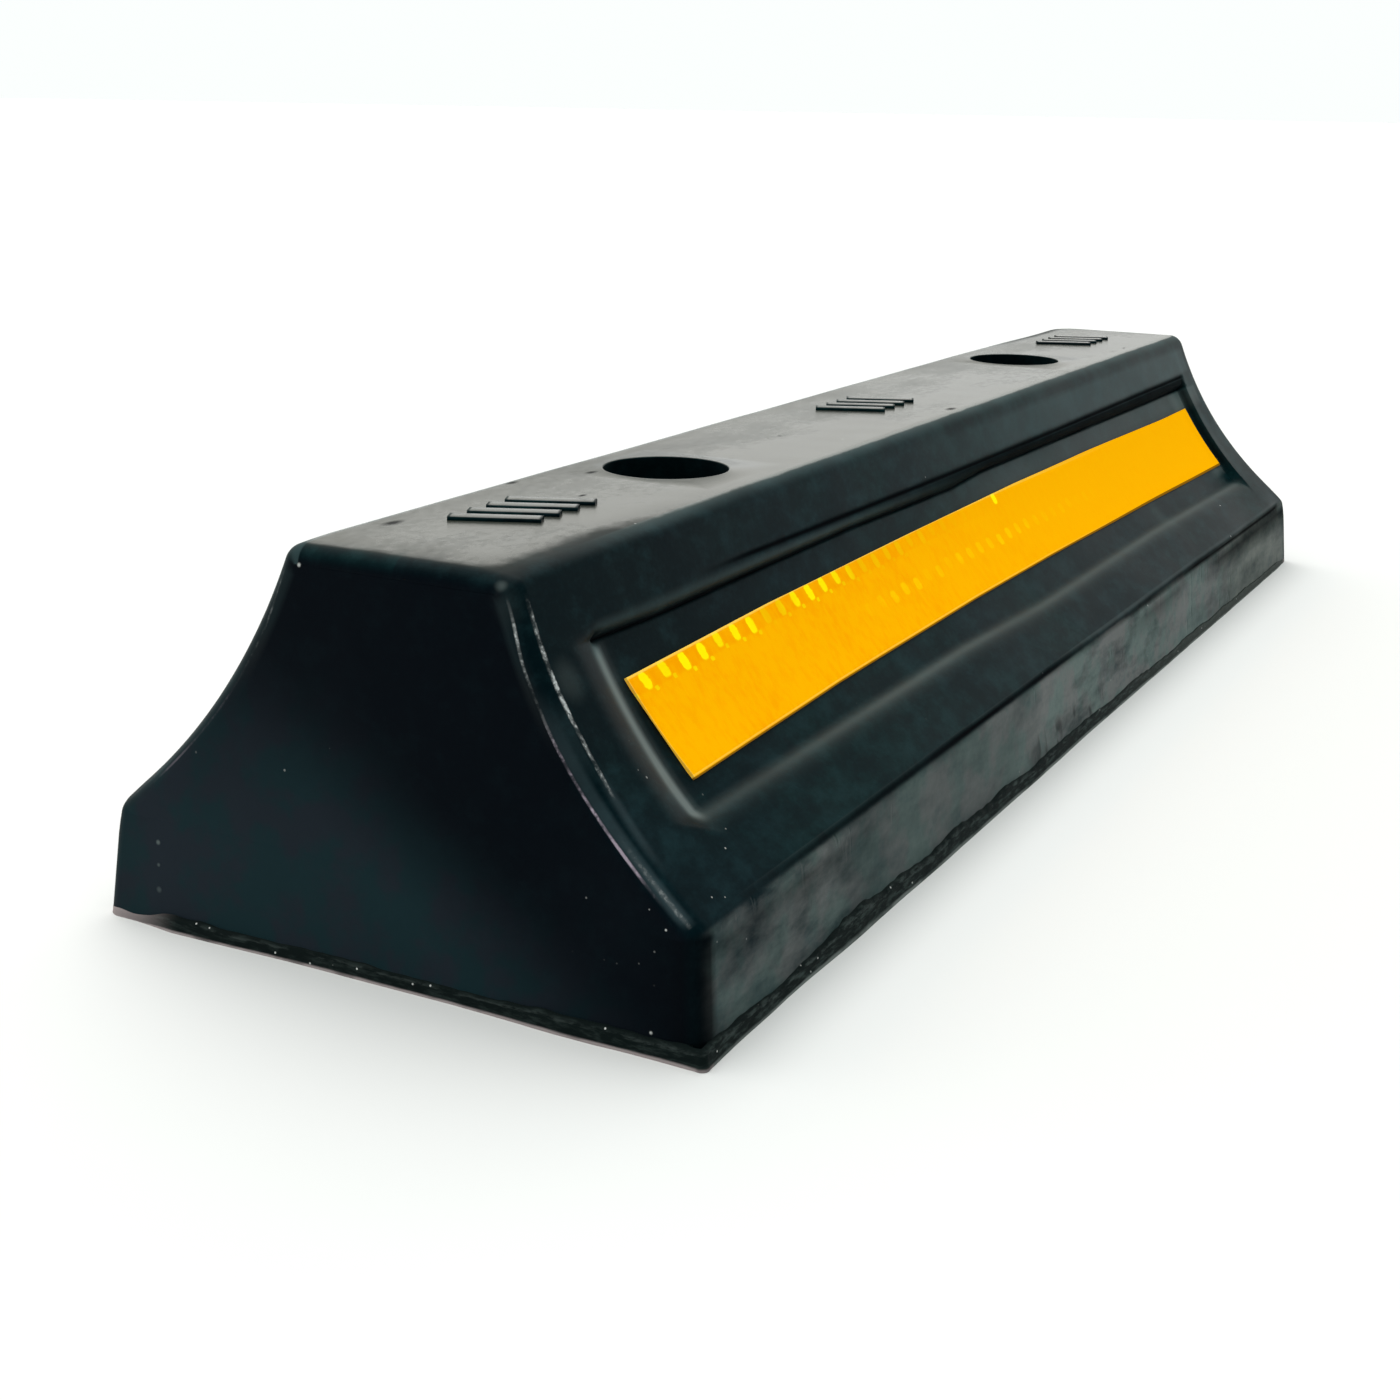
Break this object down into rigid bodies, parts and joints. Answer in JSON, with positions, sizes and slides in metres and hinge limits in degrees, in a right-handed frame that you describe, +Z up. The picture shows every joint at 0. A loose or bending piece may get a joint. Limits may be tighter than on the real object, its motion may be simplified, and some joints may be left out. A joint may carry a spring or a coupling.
{
  "type": "rubber wheel stop",
  "caption": "Long moulded rubber block with hollow flanks and reflective strips that stops a vehicle's wheel in a parking bay, with stepped holes for ground anchors.",
  "frame": {"origin": "middle of the underside", "axes": "+X along the stop, +Z up, -Y the way that the front strip faces"},
  "size_m": [0.5744, 0.1724, 0.1],
  "materials": {
    "black_rubber": "moulded black rubber with a dull sheen",
    "amber_reflective_film": "amber prismatic reflective film under a clear gloss face",
    "zinc_plated_steel": "zinc plated, dull"
  },
  "bodies": {
    "root": {"rubber_body": "black_rubber", "front_reflective_strip": "amber_reflective_film", "rear_reflective_strip": "amber_reflective_film", "left_anchor_washer": "zinc_plated_steel", "right_anchor_washer": "zinc_plated_steel"}
  },
  "joints": []
}
